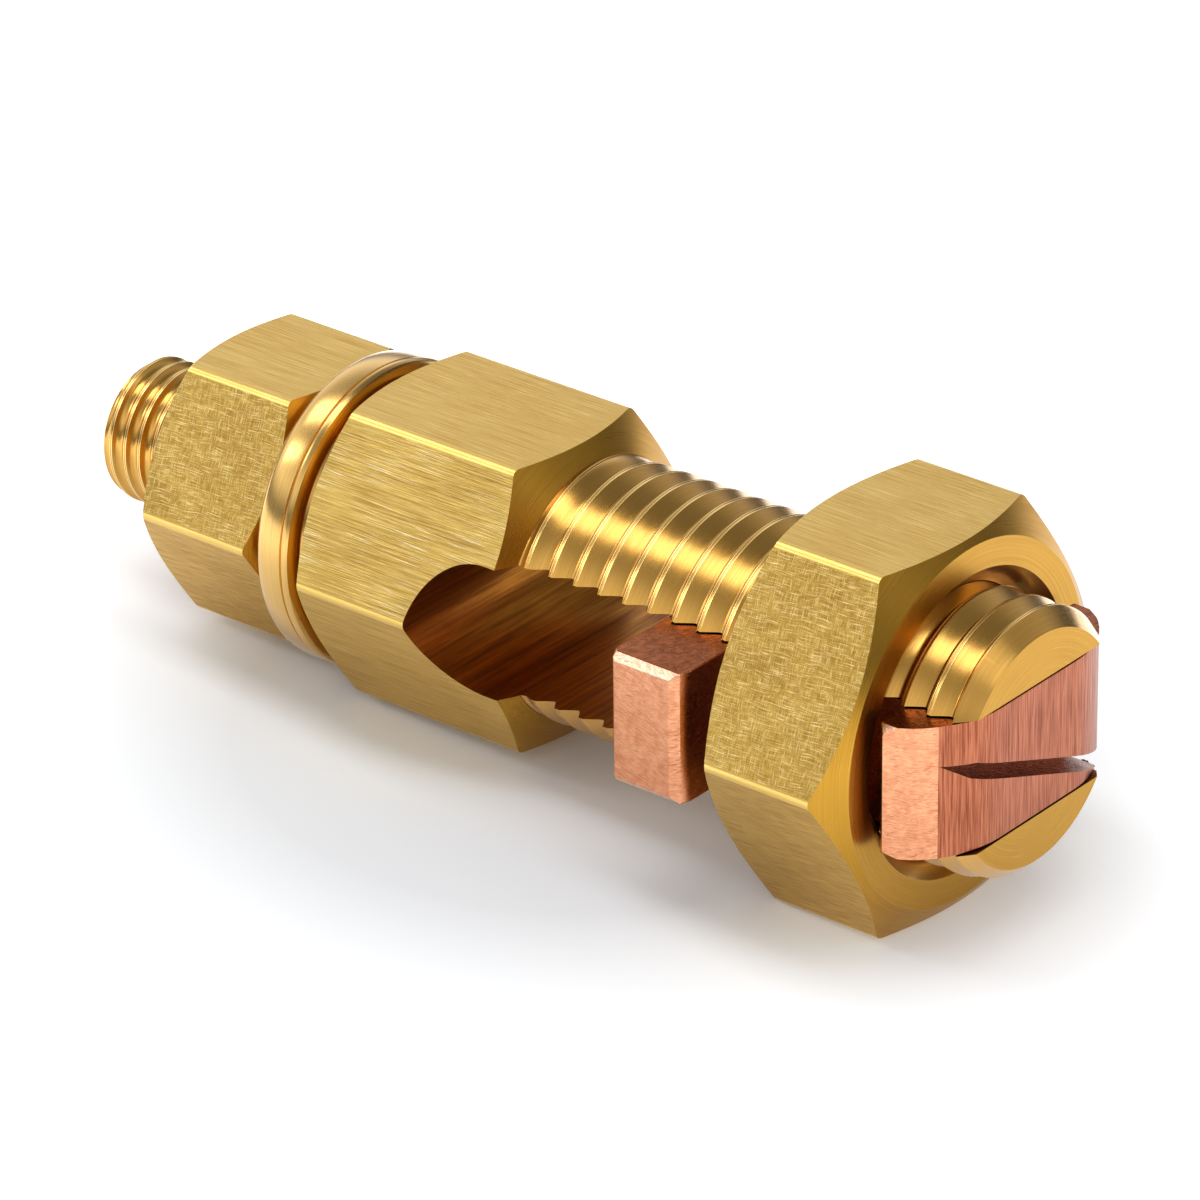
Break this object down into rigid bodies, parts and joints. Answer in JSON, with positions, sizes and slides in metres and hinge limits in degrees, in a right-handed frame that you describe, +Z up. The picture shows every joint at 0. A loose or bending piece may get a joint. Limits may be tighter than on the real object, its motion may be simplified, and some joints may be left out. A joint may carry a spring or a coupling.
{
  "type": "split bolt connector",
  "caption": "Brass split bolt wire connector with a slotted threaded shank, a captive copper pressure bar under a hexagon clamp nut, and a threaded stud with washer and nut.",
  "frame": {"origin": "centre of the half-round conductor seat at the closed end of the slot, on the bolt's axis", "axes": "+X along the bolt towards the split end, +Y along the conductor in its seat, +Z up with the slot level"},
  "size_m": [0.0745, 0.0294, 0.0254],
  "materials": {
    "brass": "brushed",
    "copper": "brushed copper"
  },
  "bodies": {
    "bolt": {"split_bolt": "brass"},
    "bar": {"pressure_bar": "copper"},
    "clamp_nut": {"clamp_nut": "brass"},
    "washer": {"stud_washer": "brass"},
    "stud_nut": {"stud_nut": "brass"}
  },
  "joints": [
    {"name": "bar_slide", "type": "slide", "parent": "bolt", "child": "bar", "axis": [1, 0, 0], "range_m": [-0.0132, 0.0164]},
    {"name": "clamp_nut_turn", "type": "hinge", "parent": "bar", "child": "clamp_nut", "pos_m": [0.02625, 0, 0], "axis": [1, 0, 0], "range_deg": [-2376, 2952]},
    {"name": "washer_slide", "type": "slide", "parent": "bolt", "child": "washer", "axis": [1, 0, 0], "range_m": [-0.0228, 0]},
    {"name": "stud_nut_turn", "type": "hinge", "parent": "washer", "child": "stud_nut", "pos_m": [-0.024, 0, 0], "axis": [1, 0, 0], "range_deg": [-6566.4, 0]}
  ],
  "couplings": [
    {"joint": "bar_slide", "follows": "clamp_nut_turn", "m_per_rad": 0.00031831},
    {"joint": "washer_slide", "follows": "stud_nut_turn", "m_per_rad": 0.00019894}
  ]
}
